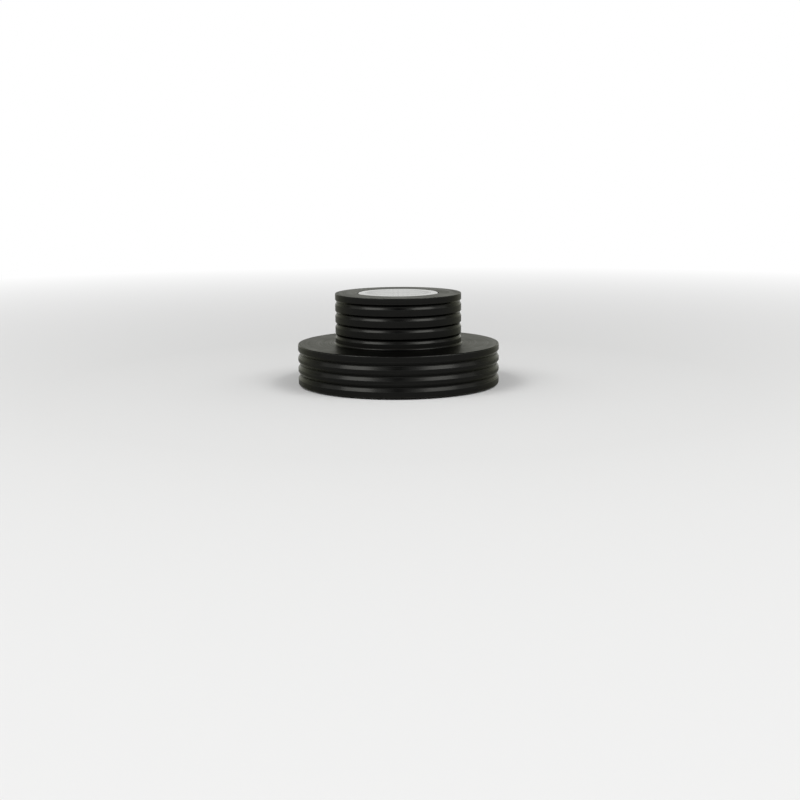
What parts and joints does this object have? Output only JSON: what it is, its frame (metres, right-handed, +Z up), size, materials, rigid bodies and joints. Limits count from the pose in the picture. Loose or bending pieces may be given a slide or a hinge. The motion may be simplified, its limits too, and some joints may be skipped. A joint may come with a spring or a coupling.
{
  "type": "record weight",
  "caption": "Stepped turned record weight with ring grooves round its tiers, a pale plate let into its top, a pad under its foot and a blind hole that drops over a turntable spindle.",
  "frame": {"origin": "on the turning axis, at the underside of the pad, which is what the weight stands on", "axes": "+Z up along the turning axis, from the pad to the plate; X and Y are free, as the part is round"},
  "size_m": [0.0806, 0.0806, 0.0365],
  "materials": {
    "black_anodised": "satin black anodised, fine turning marks",
    "pale_plate": "pale silver, satin, with faint grey printed ticks",
    "felt": "short dense black felt"
  },
  "bodies": {
    "root": {"body": "black_anodised", "top_disc": "pale_plate", "base_pad": "felt"}
  },
  "joints": []
}
